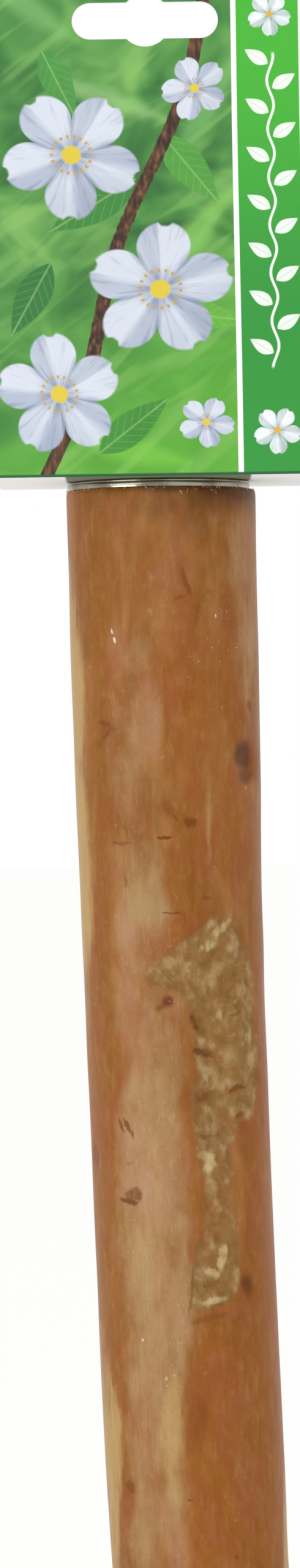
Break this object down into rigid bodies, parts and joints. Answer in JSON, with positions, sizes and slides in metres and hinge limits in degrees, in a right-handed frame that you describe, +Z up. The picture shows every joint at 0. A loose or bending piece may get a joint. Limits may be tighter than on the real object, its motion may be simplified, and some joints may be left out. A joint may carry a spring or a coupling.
{
  "type": "bird perch",
  "caption": "Natural branch perch for a bird cage, with an end bolt, washers and a wing nut, hung in its folded header card.",
  "frame": {"origin": "middle of the hang slot, halfway between the card's two panels", "axes": "+Z up along the bolt, from the branch towards the hang slot; -Y out of the card's front; +X to the right of someone facing the front"},
  "size_m": [0.067, 0.052, 0.414],
  "materials": {
    "peeled_wood": "matte",
    "zinc_steel": "satin",
    "printed_card": "satin",
    "cast_steel": "satin"
  },
  "bodies": {
    "card": {"header_card": "printed_card"},
    "perch": {"perch_branch": "peeled_wood", "hanger_bolt": "zinc_steel", "inner_washer": "zinc_steel"},
    "washer": {"outer_washer": "zinc_steel"},
    "nut": {"wing_nut": "cast_steel"}
  },
  "joints": [
    {"name": "perch_turn", "type": "hinge", "parent": "card", "child": "perch", "pos_m": [0.0015, 0, -0.101], "axis": [0, 0, 1], "continuous": true},
    {"name": "nut_travel", "type": "slide", "parent": "perch", "child": "washer", "axis": [0, 0, 1], "range_m": [0, 0.018]},
    {"name": "nut_spin", "type": "hinge", "parent": "washer", "child": "nut", "pos_m": [0.0015, 0, -0.099], "axis": [0, 0, 1], "range_deg": [0, 6480]}
  ],
  "couplings": [
    {"joint": "nut_travel", "follows": "nut_spin", "m_per_rad": 0.00015915}
  ]
}
